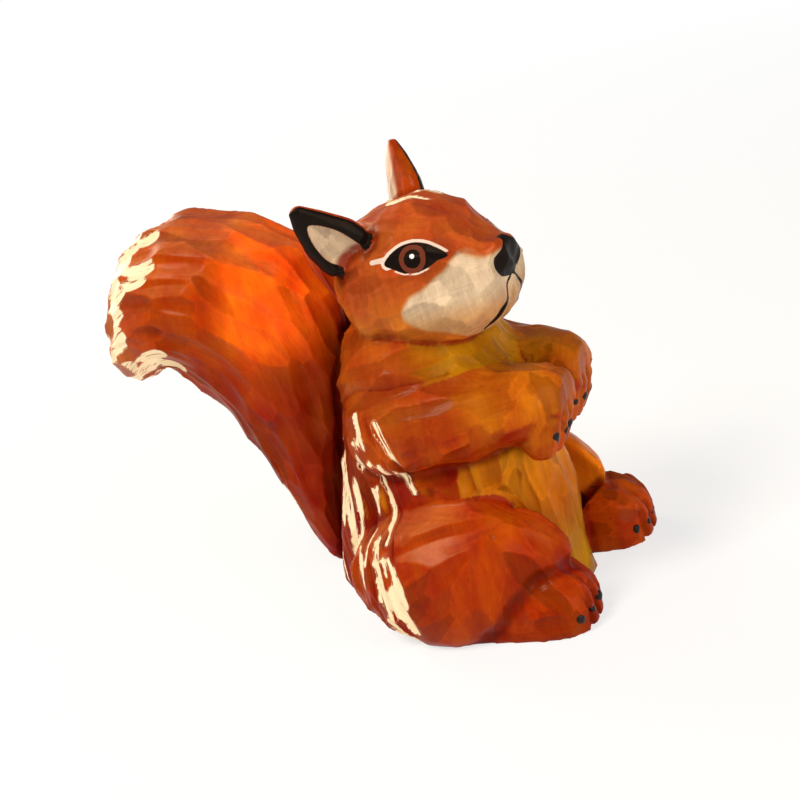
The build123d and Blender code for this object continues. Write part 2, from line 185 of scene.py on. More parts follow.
# Skins of the blocks

def linked(name, mesh):
    """A new object for a mesh, in the scene."""
    thing = bpy.data.objects.new(name, mesh)
    bpy.context.scene.collection.objects.link(thing)
    return thing


def kind_of(node):
    """The kind of block a node is, without its side."""
    return node.split("_")[-1]


def belongs(owner, *nodes):
    """Which points belong to any of these blocks."""
    return np.isin(owner, [BLOCK[node] for node in nodes])


def block_skin(node):
    """One block's triangles joined into a closed skin, in millimetres."""
    skin = bmesh.new()
    skin.from_mesh(frame["nodes"][node].data)
    bmesh.ops.remove_doubles(skin, verts=skin.verts, dist=1e-7)
    bmesh.ops.scale(skin, vec=(1 / MM,) * 3, verts=skin.verts)
    return skin


def glued_skin(skins):
    """One even skin round all the blocks as they stand glued together: its points, faces and edges."""
    pile = bmesh.new()
    for skin in skins.values():
        mesh = bpy.data.meshes.new("block")
        skin.to_mesh(mesh)
        pile.from_mesh(mesh)
        bpy.data.meshes.remove(mesh)
    mesh = bpy.data.meshes.new("glued_blocks")
    pile.to_mesh(mesh)
    pile.free()
    blocks = linked("glued_blocks", mesh)
    even = blocks.modifiers.new("even", "REMESH")
    even.mode = "VOXEL"
    even.voxel_size = SKIN_GRID
    made = bpy.data.meshes.new_from_object(blocks.evaluated_get(bpy.context.evaluated_depsgraph_get()))
    points = np.empty(len(made.vertices) * 3)
    made.vertices.foreach_get("co", points)
    faces = np.empty(len(made.loops), np.int64)
    made.loops.foreach_get("vertex_index", faces)
    edges = np.empty(len(made.edges) * 2, np.int64)
    made.edges.foreach_get("vertices", edges)
    bpy.data.objects.remove(blocks)
    bpy.data.meshes.remove(mesh)
    bpy.data.meshes.remove(made)
    return points.reshape(-1, 3), faces.reshape(-1, 4), edges.reshape(-1, 2)


def seam_distances(points, skins):
    """How far each point lies from each block's own skin, up to the seams' reach."""
    gaps = np.full((len(points), len(WOOD)), SEAM_REACH)
    for column, node in enumerate(WOOD):
        tree = BVHTree.FromBMesh(skins[node])
        corners = np.array([corner.co for corner in skins[node].verts])
        low = corners.min(0) - SEAM_REACH
        high = corners.max(0) + SEAM_REACH
        near = np.all((points > low) & (points < high), axis=1)
        for index in np.flatnonzero(near):
            gap = tree.find_nearest(points[index], SEAM_REACH)[3]
            if gap is not None:
                gaps[index, column] = gap
    return gaps


def seam_marks(gaps):
    """How strongly the knife marks a seam at each point, by the two blocks that are nearest there; the same
    mark darkens the seam, partly as stain and partly as painted shade.
    """
    shares = np.zeros((len(WOOD), len(WOOD)))
    for row, node in enumerate(WOOD):
        for other, other_node in enumerate(WOOD):
            pair = tuple(sorted((kind_of(node), kind_of(other_node))))
            shares[row, other] = SEAM_SHARES.get(pair, 0.0)
    order = np.argsort(gaps, axis=1)
    second_gap = np.take_along_axis(gaps, order[:, 1:2], axis=1)[:, 0]
    return (1 - ramp(second_gap, SEAM_CORE, SEAM_WIDTH)) * shares[order[:, 0], order[:, 1]]


def shoulder_share(gaps, outward):
    """How far each point lies on a shoulder, where a foreleg runs into the torso from above."""
    leg_gap = np.minimum(gaps[:, BLOCK["right_foreleg"]], gaps[:, BLOCK["left_foreleg"]])
    apart = leg_gap + gaps[:, BLOCK["torso"]]
    return (1 - ramp(apart, 1.5, 5.0)) * ramp(outward[:, 2], -0.1, 0.3)


# Easing and facing of the skin

def neighbour_sum(values, edges):
    """The sum over each point's neighbours."""
    first, second = edges.T
    total = np.empty_like(values)
    for column in range(values.shape[1]):
        total[:, column] = np.bincount(first, values[second, column], len(values))
        total[:, column] += np.bincount(second, values[first, column], len(values))
    return total


def eased(values, edges, rounds):
    """Values eased over the skin, for one number of rounds or for each point's own."""
    flat = values.ndim == 1
    values = values[:, None].copy() if flat else values.copy()
    rounds = np.broadcast_to(rounds, len(values))
    for turn in range(int(np.max(rounds))):
        if turn % EASING_BATCH == 0:
            moving = np.flatnonzero(rounds > turn)
            near = edges[np.isin(edges, moving).any(1)]
            count = np.bincount(near.ravel(), minlength=len(values))[moving, None]
        share = 0.5 * np.clip(rounds[moving] - turn, 0, 1)[:, None]
        values[moving] += share * (neighbour_sum(values, near)[moving] / count - values[moving])
    return values[:, 0] if flat else values


def rounded(points, faces, edges, rounds, filled):
    """The skin rounded over for each point's own rounds, and filled out again by what that took."""
    soft = eased(points, edges, rounds)
    outward = facing(soft, faces)
    lost = ((points - soft) * outward).sum(1, keepdims=True) * (1 - filled[:, None])
    lost = eased(lost, edges, FULLNESS_ROUNDS)
    return soft + lost * np.clip(points[:, 2:] / BASE_EDGE, 0, 1) * outward


def facing(points, faces):
    """The outward direction at each point."""
    across = points[faces[:, 2]] - points[faces[:, 0]]
    along = points[faces[:, 3]] - points[faces[:, 1]]
    squares = np.cross(across, along)
    total = np.zeros_like(points)
    for corner in range(4):
        for axis in range(3):
            total[:, axis] += np.bincount(faces[:, corner], squares[:, axis], len(points))
    return unit(total)


def unit(vectors):
    """Vectors at length one."""
    return vectors / np.maximum(np.linalg.norm(vectors, axis=-1, keepdims=True), 1e-9)


def point_tree(points):
    """A tree that finds the points near a place."""
    tree = KDTree(len(points))
    for index, point in enumerate(points):
        tree.insert(point, index)
    tree.balance()
    return tree


def ramp(values, start, end):
    """A smooth rise from 0 at the start to 1 at the end."""
    share = np.clip((values - start) / (end - start), 0, 1)
    return share * share * (3 - 2 * share)


# Strokes of the knife and the gouge

def tail_direction(points):
    """The way the tail runs at its nearest place on the middle line."""
    run = np.array(TAIL_RUN)
    steps = np.linspace(0, len(run) - 1, 80)
    line = np.stack([np.interp(steps, range(len(run)), run[:, axis]) for axis in (0, 1)], axis=1)
    way = np.gradient(line, axis=0)
    nearest = np.argmin(((points[:, None, (0, 2)] - line[None]) ** 2).sum(2), axis=1)
    return np.stack([way[nearest, 0], np.zeros(len(points)), way[nearest, 1]], axis=1)


def stroke_direction(node, points):
    """The way the knife goes over one block."""
    if node == "tail":
        return tail_direction(points)
    if "ear" in node:
        side = 1 if "left" in node else -1
        return np.tile((-0.28, 0.5 * side, 1.0), (len(points), 1))
    if "foreleg" in node:
        paw = ramp(points[:, :1], PAW_START, PAW_START + 7)
        return (1 - paw) * np.array((1.0, 0.0, 0.15)) + paw * np.array((0.2, 0.0, 1.0))
    if "haunch" in node:
        return (points - KNEE) * (1, 0, 1)
    if "foot" in node:
        return np.tile((1.0, 0.0, 0.0), (len(points), 1))
    if node == "head":
        return np.tile((math.cos(HEAD_TURN), -math.sin(HEAD_TURN), 0.25), (len(points), 1))
    shoulder = ramp(points[:, 2:], 43, 50) * ramp(np.abs(points[:, 1:2]), 5, 11)
    return (1 - shoulder) * np.array((0.0, 0.0, 1.0)) + shoulder * np.array((1.0, 0.0, 0.15))


def stroke_marks(points, outward, way, stroke, random):
    """Where strokes go: the middles, directions and sides of strokes that don't crowd each other."""
    along = unit(way - (way * outward).sum(1, keepdims=True) * outward)
    side = np.cross(outward, along)
    chosen = np.empty(0, int)
    for trial in random.permutation(len(points))[:STROKE_TRIALS]:
        apart = points[chosen] - points[trial]
        run = apart @ along[trial] / stroke.length
        rest = np.linalg.norm(apart - np.outer(apart @ along[trial], along[trial]), axis=1) / stroke.width
        if np.all(run ** 2 + rest ** 2 > STROKE_SPACING ** 2):
            chosen = np.append(chosen, trial)
    return points[chosen], along[chosen], side[chosen], outward[chosen]


def edge_zones(points, owner):
    """The number of the block that each point is on, or a later number within the box of an edge cut."""
    zones = owner.copy()
    kinds = np.array([kind_of(node) for node in WOOD])[owner]
    for number, edge in enumerate(EDGE_CUTS):
        within = np.all((points > edge.low) & (points < edge.high), axis=1)
        zones[(kinds == edge.kind) & within] = len(WOOD) + number
    return zones


Carving = namedtuple("Carving", "depth ridge tone pale place")


def carved(points, outward, owner):
    """What the strokes leave at each point: depth, ridges, tone, paleness that is painted highlight, and
    the place in a stroke.
    """
    random = np.random.default_rng(CARVING_SEED)
    tree = point_tree(points)
    depth = np.zeros(len(points))
    second = np.zeros(len(points))
    tone = np.full(len(points), 0.5)
    pale = np.zeros(len(points))
    place = np.zeros((len(points), 3))
    work = []
    for column, node in enumerate(WOOD):
        own = owner == column
        work.append((own, STROKES[node], stroke_direction(node, points[own]), 0.0))
    zones = edge_zones(points, owner)
    for number, edge in enumerate(EDGE_CUTS):
        own = zones == len(WOOD) + number
        way = np.tile(UPRIGHT, (own.sum(), 1)) if edge.upright else stroke_direction(edge.kind, points[own])
        work.append((own, edge.stroke, way, edge.pale))
    for own, stroke, way, painted_highlight_share in work:
        marks = stroke_marks(points[own], outward[own], way, stroke, random)
        for middle, along, side, out in zip(*marks):
            size = random.uniform(0.75, 1.25)
            cut = stroke.depth * random.uniform(0.7, 1.3)
            lean = stroke.tilt * random.normal(size=2)
            shade = random.uniform()
            # Some edge-cut strokes are painted pale as highlights
            bare = random.uniform() < painted_highlight_share
            found = np.array([entry[1] for entry in tree.find_range(middle, 0.8 * stroke.length * size)])
            apart = points[found] - middle
            run = apart @ along
            across = apart @ side
            run_share = 2 * run / (STROKE_SPREAD * stroke.length * size)
            across_share = 2 * across / (STROKE_SPREAD * stroke.width * size)
            reach = run_share ** 2 + across_share ** 2
            if painted_highlight_share:
                cut += depth[found[np.argmin((apart ** 2).sum(1))]]
            tilted = lean[0] * across + lean[1] * run * 0.4
            taken = cut * (1 - reach) + tilted * np.clip(1.4 - reach, 0, 1)
            taken *= ramp(outward[found] @ out, 0.25, 0.6)
            second[found] = np.maximum(second[found], np.minimum(depth[found], taken))
            deeper = taken > depth[found]
            chosen = found[deeper]
            depth[chosen] = taken[deeper]
            tone[chosen] = shade
            pale[chosen] = bare
            place[chosen] = np.stack([across, run, np.full(len(run), 100 * shade)], axis=1)[deeper]
    ridge = (1 - ramp(depth - second, 0.0, 0.10)) * (second > 0.03)
    return Carving(depth, ridge, tone, pale, place)


# Stain, in zones over the whole figure, some zones being painted light and shade

def blended(under, over, share):
    """One colour worked into another by a share."""
    return under + (np.array(over) - under) * share[:, None]


def stain_colours(points, outward, owner):
    """The stain's colour at each point, with painted light and shade in some zones."""
    x, y, z = points.T
    colours = np.tile(np.array(ORANGE), (len(points), 1))
    of = {node: owner == column for column, node in enumerate(WOOD)}

    tail = of["tail"]
    colours = blended(colours, RED_BROWN, 0.9 * tail * (1 - ramp(z, 42, 84)))
    # Painted light: a brighter orange glow on the tail's face towards the head, as light bounced off the
    # head
    colours = blended(colours, PAINTED_BOUNCE_GLOW, tail * ramp(x, -38, -29) * ramp(z, 60, 75))
    # Painted highlight: rosy on the tail's upward-facing facets, besides the rosy tip
    tip_or_painted_top_light = np.maximum(ramp(-x, 50, 64), 0.7 * ramp(outward[:, 2], 0.5, 0.95))
    colours = blended(colours, ROSY, tail * tip_or_painted_top_light)

    torso = of["torso"]
    front = ramp(outward[:, 0], 0.1, 0.65)
    colours = blended(colours, BACK, torso * (1 - front))
    colours = blended(colours, RED_BROWN, 0.75 * torso * (1 - front) * (1 - ramp(z, 40, 50)))
    colours = blended(colours, UMBER, torso * (1 - front) * ramp(z, 42, 50))
    colours = blended(colours, OLIVE, torso * front * ramp(z, 47, 53))
    colours = blended(colours, YELLOW, torso * front * (1 - ramp(z, 42, 48)) * ramp(z, 14, 32))
    colours = blended(colours, OLIVE, torso * front * (1 - ramp(z, 10, 26)))

    forelegs = of["right_foreleg"] | of["left_foreleg"]
    colours = blended(colours, UMBER, forelegs * ramp(outward[:, 2], -0.2, 0.4))
    inner = ramp(x, 9, 20) * ramp(outward[:, 2], 0.1, 0.8)
    colours = blended(colours, AMBER, forelegs * ramp(x, 8, 22) * ramp(outward[:, 2], -0.6, 0.3))
    inner *= (1 - ramp(np.abs(y), 3, 15)) * (1 - ramp(x, 22, 29))
    colours = blended(colours, OLIVE, 0.75 * forelegs * inner)
    # Painted shade: darker undersides of the forelegs
    colours = blended(colours, RED_BROWN, 0.5 * forelegs * ramp(-outward[:, 2], 0.1, 0.7))

    haunches = of["right_haunch"] | of["left_haunch"]
    colours = blended(colours, RED_BROWN, 0.6 * haunches * (1 - 0.45 * ramp(z, 6, 26)))
    # Painted light: brighter orange on the front of the far haunch, which stands in shade
    colours = blended(colours, PAINTED_LIGHT_ORANGE, of["left_haunch"] * ramp(x, -4, 6) * ramp(z, 8, 18))
    # Painted highlight: rosy on the haunches' upward-facing facets
    colours = blended(colours, ROSY, 0.6 * haunches * ramp(outward[:, 2], 0.35, 0.8) * (1 - ramp(x, 2, 14)))

    colours = blended(colours, RED_BROWN, 0.6 * of["right_foot"])
    colours = blended(colours, ROSY, 0.35 * of["head"])
    colours = blended(colours, GOLD, 0.8 * of["head"] * (1 - ramp(z, 68, 82)))
    ears = of["right_ear"] | of["left_ear"]
    # Painted highlight: cream on the back-facing sides of the ears
    colours = blended(colours, CREAM, ears * ramp(-outward[:, 0], 0.5, 0.75))
    return colours


# Face paint, measured in the head's own frame: ahead, side and rise

Eye = namedtuple("Eye", "place outward iris pupil glint glint_up")
EYE = Eye((13.9, -12.0, 15.5), (0.38, -0.82, 0.43), 2.85, 1.95, 0.52, 0.5)
EYE_OUTLINE = (
    (-5.9, 0.1), (-4.0, 1.9), (-2.0, 3.0), (0.2, 3.3), (2.2, 2.9),
    (4.2, 1.9), (6.9, -0.5), (4.6, -1.5), (2.6, -2.4), (0.2, -2.9), (-2.2, -2.5), (-4.2, -1.3),
)
EYE_LINE = 0.65
LOWER_LINE = 0.36
EYE_TAIL = ((-5.2, 0.9, 0.55), (-8.6, 1.2, 0.5))
NOSE_OUTLINE = (
    (0.0, 15.2), (0.8, 14.8), (2.5, 13.2), (4.6, 11.6), (5.3, 9.6), (4.5, 7.8), (2.5, 6.8), (0.0, 6.3),
    (-2.5, 6.8), (-4.5, 7.8), (-5.3, 9.6), (-4.6, 11.6), (-2.5, 13.2), (-0.8, 14.8),
)
MOUTH = (
    (0.0, 6.8, 0.34), (2.4, 5.0, 0.34), (3.6, 3.0, 0.42),
    (4.4, 0.7, 0.7), (4.9, -1.7, 0.85), (5.2, -3.4, 0.2),
)
FACE_START = 18.0
NOSE_START = 24.2
NOSE_SLANT = 0.9
NOSE_MIDDLE = 11.5
MUZZLE_OUTLINE = (
    (33.0, 11.4), (26.0, 12.4), (23.9, 13.3), (21.6, 14.5), (20.0, 12.5), (18.0, 11.3), (15.4, 9.6),
    (12.4, 8.2), (10.6, 4.2), (14.0, 1.0), (18.0, -1.4), (21.2, -5.0), (25.6, -9.0), (33.0, -9.0),
)

# Ears, measured from their roots: across the ear and along it
EAR_ROOT = np.array((0.4, -10.75, 14.5))
EAR_AXIS = np.array((-0.28, -0.5, 1.0))
EAR_ACROSS = np.array((1.0, 0.5, 0.35))
EAR_LINING = (
    (0.0, 1.0), (2.1, 2.0), (3.3, 4.6), (3.0, 8.0), (1.9, 11.8), (-0.8, 15.4),
    (-2.5, 13.8), (-3.6, 10.0), (-3.7, 6.0), (-2.4, 2.4),
)
EAR_RIM_TURN = 0.2
EAR_STREAK = ((-2.2, -1.0, 1.3), (-1.4, -5.0, 0.2))
PAINT_SPAN = 1.2


def head_measures(vectors):
    """Vectors in the head's frame."""
    ahead = vectors[:, 0] * math.cos(HEAD_TURN) - vectors[:, 1] * math.sin(HEAD_TURN)
    side = vectors[:, 0] * math.sin(HEAD_TURN) + vectors[:, 1] * math.cos(HEAD_TURN)
    return np.stack([ahead, side, vectors[:, 2]], axis=1)


def rounded_outline(outline, steps=6):
    """A closed outline with a smooth curve through its points."""
    corners = np.array(outline)
    before = np.roll(corners, 1, axis=0)
    after = np.roll(corners, -1, axis=0)
    beyond = np.roll(corners, -2, axis=0)
    curve = []
    for share in np.arange(steps) / steps:
        curve.append(0.5 * (
            2 * corners + (after - before) * share
            + (2 * before - 5 * corners + 4 * after - beyond) * share ** 2
            + (3 * corners - before - 3 * after + beyond) * share ** 3
        ))
    return np.stack(curve, axis=1).reshape(-1, 2)


def outline_depth(flat, outline):
    """How far each flat point lies inside a closed outline, negative outside."""
    gap = np.full(len(flat), np.inf)
    within = np.zeros(len(flat), bool)
    for start, end in zip(outline, np.roll(outline, -1, axis=0)):
        way = end - start
        share = np.clip((flat - start) @ way / (way @ way), 0, 1)
        gap = np.minimum(gap, np.linalg.norm(flat - start - share[:, None] * way, axis=1))
        spans = (start[1] > flat[:, 1]) != (end[1] > flat[:, 1])
        rise = way[1] if way[1] else 1e-9
        within ^= spans & (flat[:, 0] < start[0] + (flat[:, 1] - start[1]) / rise * way[0])
    return np.where(within, gap, -gap)


def brush_depth(flat, path):
    """How far each flat point lies inside a brush line given by places and half widths."""
    depth = np.full(len(flat), -np.inf)
    for start, end in zip(np.array(path), np.array(path[1:])):
        way = end[:2] - start[:2]
        share = np.clip((flat - start[:2]) @ way / (way @ way), 0, 1)
        gap = np.linalg.norm(flat - start[:2] - share[:, None] * way, axis=1)
        depth = np.maximum(depth, start[2] + share * (end[2] - start[2]) - gap)
    return depth


def eye_paint(measures):
    """Depths inside the black, the iris, the white and the glint of an eye."""
    out = unit(np.array(EYE.outward))
    up = unit(np.array((0.0, 0.0, 1.0)) - out[2] * out)
    ahead = np.cross(up, out) * np.sign(np.cross(up, out)[0])
    apart = measures - np.array(EYE.place)
    flat = np.stack([apart @ ahead, apart @ up], axis=1)
    far = np.linalg.norm(apart, axis=1)
    almond = np.where(far < 12, outline_depth(flat, rounded_outline(EYE_OUTLINE)), -12.0)
    iris = np.minimum(np.minimum(EYE.iris - far, far - EYE.pupil), almond)
    black = np.maximum(np.minimum(almond, far - EYE.iris), np.minimum(EYE.pupil - far, almond))
    above = flat[:, 1] - 0.1 * flat[:, 0]
    upper_line = np.minimum(np.minimum(-almond, EYE_LINE + almond), above + 0.6)
    below = np.minimum(-above, 3.6 - np.abs(flat[:, 0] + 0.6))
    lower_line = np.minimum(np.minimum(-almond, LOWER_LINE + almond), below)
    tail_line = np.minimum(brush_depth(flat, EYE_TAIL), -almond)
    glint = EYE.glint - np.linalg.norm(flat - (0.0, EYE.glint_up), axis=1)
    white = np.maximum.reduce([upper_line, lower_line, tail_line])
    return black, iris, np.where(far < 12, white, -12.0), np.where(far < 12, glint, -12.0)


def face_paint(points):
    """Paint depths on the head: black, iris, white, glint and the cream of the muzzle."""
    measures = head_measures(points - HEAD_PIVOT)
    measures[:, 1] = -np.abs(measures[:, 1])
    black, iris, white, glint = eye_paint(measures)
    front = measures[:, (1, 2)] * (-1, 1)
    nose_edge = NOSE_START + NOSE_SLANT * np.maximum(measures[:, 2] - NOSE_MIDDLE, 0)
    nose = np.minimum(outline_depth(front, rounded_outline(NOSE_OUTLINE)), measures[:, 0] - nose_edge)
    mouth = np.minimum(brush_depth(front, MOUTH), measures[:, 0] - FACE_START)
    places = ear_measures(points)
    streak = np.minimum(brush_depth(places[:, :2], EAR_STREAK), 2.5 - np.abs(places[:, 2]))
    black = np.maximum.reduce([black, nose, mouth, streak])
    cream = outline_depth(measures[:, (0, 2)], rounded_outline(MUZZLE_OUTLINE))
    return black, iris, white, glint, cream


def ear_frame():
    """The directions across the right ear, along it and out of its hollow face, in the head's frame."""
    along = unit(EAR_AXIS)
    across = unit(EAR_ACROSS - (EAR_ACROSS @ along) * along)
    return across, along, np.cross(across, along)


def ear_measures(points):
    """Places across an ear, along it and out of its face, with the left ear folded onto the right one."""
    measures = head_measures(points - HEAD_PIVOT)
    measures[:, 1] = -np.abs(measures[:, 1])
    return np.stack([(measures - EAR_ROOT) @ way for way in ear_frame()], axis=1)


def ear_paint(points, outward):
    """Depths inside the black rim and the cream lining of the ears."""
    places = ear_measures(points)
    turned = head_measures(outward)
    turned[:, 1] *= np.sign(-head_measures(points - HEAD_PIVOT)[:, 1])
    out = turned @ ear_frame()[2]
    lining = outline_depth(places[:, :2], rounded_outline(EAR_LINING))
    lining = np.minimum(lining, 2 * (out + EAR_RIM_TURN))
    rim = np.minimum(-lining, 2 * (out - EAR_RIM_TURN))
    return rim, lining


def paint_share(depth):
    """A paint depth as a share that stands at one half on the paint's edge."""
    return np.clip(0.5 + depth / PAINT_SPAN, 0, 1)


# Making pieces from the carved skin

def rim_rings(rim):
    """The rim's edges, grouped into the rings that they join up to."""
    beside = {}
    for side in rim:
        for end in side:
            beside.setdefault(end, []).append(side)
    rings = []
    seen = set()
    for start in sorted(rim):
        if start in seen:
            continue
        ring = []
        waiting = [start]
        seen.add(start)
        while waiting:
            side = waiting.pop()
            ring.append(side)
            for end in side:
                for other in beside[end]:
                    if other not in seen:
                        seen.add(other)
                        waiting.append(other)
        rings.append(sorted(ring))
    return rings


def carved_piece(node, points, faces, outward, traits):
    """One block of the carved skin, closed on the inside, with its traits as point attributes."""
    used, local = np.unique(faces, return_inverse=True)
    local = local.reshape(-1, 4)
    sides = np.concatenate([np.stack([local[:, k], local[:, (k + 1) % 4]], axis=1) for k in range(4)])
    there = {tuple(side) for side in sides.tolist()}
    rim = [side for side in there if side[::-1] not in there]
    places = points[used]
    source = list(range(len(used)))
    inside = []
    corners = local.tolist()
    for ring in rim_rings(rim):
        ends = sorted({end for side in ring for end in side})
        depths = {end: len(source) + step for step, end in enumerate(ends)}
        under = places[ends] - SKIRT * outward[used[ends]]
        inside += list(under) + [under.mean(0)]
        source += ends + [ends[0]]
        tip = len(source) - 1
        for first, second in ring:
            corners.append([second, first, depths[first], depths[second]])
            corners.append([depths[second], depths[first], tip])
    everything = np.vstack([places, np.array(inside).reshape(-1, 3)])
    mesh = bpy.data.meshes.new(node + "_carved")
    mesh.from_pydata((everything * MM).tolist(), [], corners)
    mesh.polygons.foreach_set("use_smooth", [True] * len(mesh.polygons))
    for name, values in traits.items():
        own = values[used[source]].astype(np.float32)
        if values.ndim == 1:
            mesh.attributes.new(name, "FLOAT", "POINT").data.foreach_set("value", own)
        elif name == "cut":
            mesh.attributes.new(name, "FLOAT_VECTOR", "POINT").data.foreach_set("vector", own.ravel())
        else:
            own = np.concatenate([own, np.ones((len(own), 1), np.float32)], axis=1)
            mesh.attributes.new(name, "FLOAT_COLOR", "POINT").data.foreach_set("color", own.ravel())
    turned = np.concatenate([outward[used], np.zeros((len(inside), 3))])
    mesh.normals_split_custom_set_from_vertices(turned.tolist())
    piece = linked(node + "_carved", mesh)
    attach(piece, "root")
    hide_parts(node)
    return piece


# Materials

class Finish:
    """A material being put together."""

    def __init__(self, name):
        self.material = bpy.data.materials.new(name)
        self.material.use_nodes = True
        self.tree = self.material.node_tree
        self.surface = self.tree.nodes["Principled BSDF"]

    def node(self, kind, inputs=(), **settings):
        """A new node with its settings, and its inputs given as outputs to join or as constants."""
        made = self.tree.nodes.new("ShaderNode" + kind)
        for name, value in settings.items():
            setattr(made, name, value)
        for place, value in dict(inputs).items():
            if isinstance(value, bpy.types.NodeSocket):
                self.tree.links.new(value, made.inputs[place])
            else:
                made.inputs[place].default_value = value
        return made

    def attribute(self, name):
        """A point attribute of the piece."""
        return self.node("Attribute", attribute_name=name)

    def streaks(self, scale, detail, place=None):
        """Noise drawn out along the block's own upright grain, or along another place given."""
        place = place or self.node("TexCoord").outputs["Object"]
        drawn = self.node("Mapping", {"Vector": place, "Scale": scale}).outputs[0]
        return self.node("TexNoise", {"Vector": drawn, "Scale": 1.0, "Detail": detail}).outputs["Fac"]

    def spread(self, value, low, high, start=0.0, end=1.0, smooth=False):
        """A value spread from one range to another."""
        kind = "SMOOTHSTEP" if smooth else "LINEAR"
        inputs = {"Value": value, "From Min": start, "From Max": end, "To Min": low, "To Max": high}
        return self.node("MapRange", inputs, interpolation_type=kind).outputs["Result"]

    def maths(self, operation, first, second):
        """Two values put together."""
        return self.node("Math", {0: first, 1: second}, operation=operation).outputs[0]

    def over(self, under, colour, share):
        """A colour laid over another by a share."""
        return self.node("Mix", {0: share, 6: under, 7: colour}, data_type="RGBA").outputs[2]

    def set(self, **values):
        """Constants and joined values for the surface, by input name with underscores for spaces."""
        for name, value in values.items():
            place = self.surface.inputs[name.replace("_", " ")]
            if isinstance(value, bpy.types.NodeSocket):
                self.tree.links.new(value, place)
            else:
                place.default_value = value


GRAIN = (900.0, 900.0, 110.0)
PORES = (3200.0, 3200.0, 420.0)
MOTTLE = (130.0, 130.0, 90.0)
GOUGE = (1.7, 0.14, 1.0)
# Cream of the painted highlights on the pale strokes
PAINTED_HIGHLIGHT_CREAM = (0.95, 0.76, 0.50, 1)
PAINTS = {
    "white": (0.72, 0.56, 0.46, 1),
    "iris": (0.135, 0.030, 0.016, 1),
    "black": (0.006, 0.004, 0.004, 1),
    "glint": (0.85, 0.80, 0.75, 1),
}


def wood_finish(name, painted):
    """Stain that varies with the grain under gloss lacquer, with the painted highlights of the pale strokes
    and the painted marks where there are any.
    """
    finish = Finish(name)
    grain = finish.streaks(GRAIN, 4.0)
    pores = finish.streaks(PORES, 2.0)
    mottle = finish.streaks(MOTTLE, 3.0)
    tone = finish.attribute("tone").outputs["Fac"]
    gouge = finish.streaks(GOUGE, 3.0, finish.attribute("cut").outputs["Vector"])
    value = finish.spread(grain, 0.90, 1.10, 0.3, 0.7)
    value = finish.maths("MULTIPLY", value, finish.spread(tone, 0.78, 1.22))
    value = finish.maths("MULTIPLY", value, finish.spread(mottle, 0.85, 1.15, 0.3, 0.7))
    value = finish.maths("MULTIPLY", value, finish.spread(gouge, 0.93, 1.07, 0.3, 0.7))
    value = finish.maths("MULTIPLY", value, finish.spread(pores, 1.0, 0.80, 0.62, 0.72))
    hue = finish.spread(mottle, 0.492, 0.508, 0.3, 0.7)
    stain = finish.attribute("stain").outputs["Color"]
    colour = finish.node("HueSaturation", {"Color": stain, "Hue": hue, "Value": value}).outputs["Color"]
    # Painted highlight: cream laid over the pale strokes, frayed along the gouge streaks
    highlight_fraying = finish.spread(gouge, -0.46, 0.40, 0.3, 0.7)
    bare = finish.maths("ADD", finish.attribute("pale").outputs["Fac"], highlight_fraying)
    bare = finish.spread(bare, 0.0, 1.0, 0.62, 0.78, True)
    colour = finish.over(colour, PAINTED_HIGHLIGHT_CREAM, bare)
    if painted:
        wobble = finish.spread(grain, -0.03, 0.03, 0.3, 0.7)
        for paint, shade in PAINTS.items():
            depth = finish.maths("ADD", finish.attribute(paint).outputs["Fac"], wobble)
            colour = finish.over(colour, shade, finish.spread(depth, 0.0, 1.0, 0.45, 0.55, True))
    relief = finish.maths("ADD", grain, gouge)
    relief = finish.maths("ADD", relief, finish.spread(pores, 0.0, -0.5, 0.58, 0.72))
    bump = finish.node("Bump", {"Strength": 0.25, "Distance": 0.00025, "Height": relief})
    finish.set(
        Base_Color=colour, Normal=bump.outputs["Normal"],
        Roughness=finish.spread(mottle, 0.30, 0.46, 0.3, 0.7),
        Specular_IOR_Level=0.07, Specular_Tint=(1.0, 0.62, 0.25, 1), Coat_Weight=0.04, Coat_Roughness=0.08,
    )
    return finish.material


def dowel_finish():
    """Bare pale hardwood with its grain along the pegs."""
    finish = Finish("dowel_wood")
    grain = finish.streaks(GRAIN, 4.0)
    pale = finish.spread(grain, 0.8, 1.15, 0.3, 0.7)
    tint = finish.node("HueSaturation", {"Color": (0.55, 0.34, 0.17, 1), "Value": pale}).outputs["Color"]
    bump = finish.node("Bump", {"Strength": 0.2, "Distance": 0.0002, "Height": grain})
    finish.set(Base_Color=tint, Roughness=finish.spread(grain, 0.55, 0.75), Normal=bump.outputs["Normal"])
    return finish.material


def claw_finish():
    """Gloss black paint, a little worn."""
    finish = Finish("black_paint")
    wear = finish.streaks(MOTTLE, 3.0)
    worn = finish.spread(wear, 0.5, 1.8)
    tint = finish.node("HueSaturation", {"Color": (0.012, 0.006, 0.004, 1), "Value": worn}).outputs["Color"]
    finish.set(Base_Color=tint, Roughness=finish.spread(wear, 0.18, 0.4), Specular_IOR_Level=0.15)
    return finish.material


# Claws: one small shape set on every toe and finger

CLAW_LENGTH = 3.2
CLAW_WIDTH = 2.2
CLAW_THICKNESS = 1.4
CLAW_SINK = 0.45
CLAW_AIM = np.array((0.3, 0.0, -1.0))
TOE_SPACING = 4.2
FINGER_SPACING = 3.8
FOOT_OUT = 18.5
PAW_OUT = 8.3
TOE_HEIGHT = 3.2
FOOT_TIPS = {"right": 31.0, "left": 34.6}
PAW_TIP = (29.5, 39.6)


